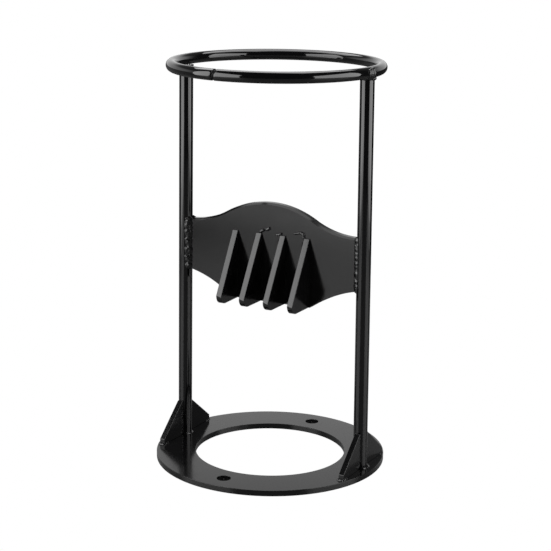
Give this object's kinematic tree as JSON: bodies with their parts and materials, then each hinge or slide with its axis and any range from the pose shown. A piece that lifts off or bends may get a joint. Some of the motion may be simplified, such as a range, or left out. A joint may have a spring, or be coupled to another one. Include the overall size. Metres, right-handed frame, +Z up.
{
  "type": "kindling splitter stand",
  "caption": "Welded steel stand: a ring base and braced uprights hold a top hoop and an upright humped blade with triangular spreader fins, for splitting small logs by striking them.",
  "frame": {"origin": "centre of the ring plate's underside, where the stand rests", "axes": "+Z up; +X from the left upright to the right upright, seen from the fins' side; -Y to the front, where the fins point"},
  "size_m": [0.25, 0.25, 0.435],
  "materials": {
    "plate_paint": "gloss black paint on flat steel plate",
    "bar_paint": "gloss black paint on round steel bar",
    "blade_paint": "gloss black paint on the blade plate",
    "fin_paint": "gloss black paint on small cut plates",
    "weld_paint": "gloss black paint over rippled weld metal",
    "seam_paint": "duller black paint in the hoop's seam"
  },
  "bodies": {
    "root": {"base_plate": "plate_paint", "fin_weld_1": "weld_paint", "fin_weld_2": "weld_paint", "fin_weld_3": "weld_paint", "fin_weld_4": "weld_paint", "hoop_butt_weld": "seam_paint", "left_foot_weld_inner": "weld_paint", "left_foot_weld_outer": "weld_paint", "left_front_blade_weld": "weld_paint", "left_front_gusset": "fin_paint", "left_front_gusset_weld": "weld_paint", "left_hoop_weld": "weld_paint", "left_rear_blade_weld": "weld_paint", "left_rear_gusset": "fin_paint", "left_rear_gusset_weld": "weld_paint", "left_upright": "bar_paint", "right_foot_weld_inner": "weld_paint", "right_foot_weld_outer": "weld_paint", "right_front_blade_weld": "weld_paint", "right_front_gusset": "fin_paint", "right_front_gusset_weld": "weld_paint", "right_hoop_weld": "weld_paint", "right_rear_blade_weld": "weld_paint", "right_rear_gusset": "fin_paint", "right_rear_gusset_weld": "weld_paint", "right_upright": "bar_paint", "splitting_blade": "blade_paint", "spreader_fin_1": "fin_paint", "spreader_fin_2": "fin_paint", "spreader_fin_3": "fin_paint", "spreader_fin_4": "fin_paint", "top_hoop": "bar_paint"}
  },
  "joints": []
}
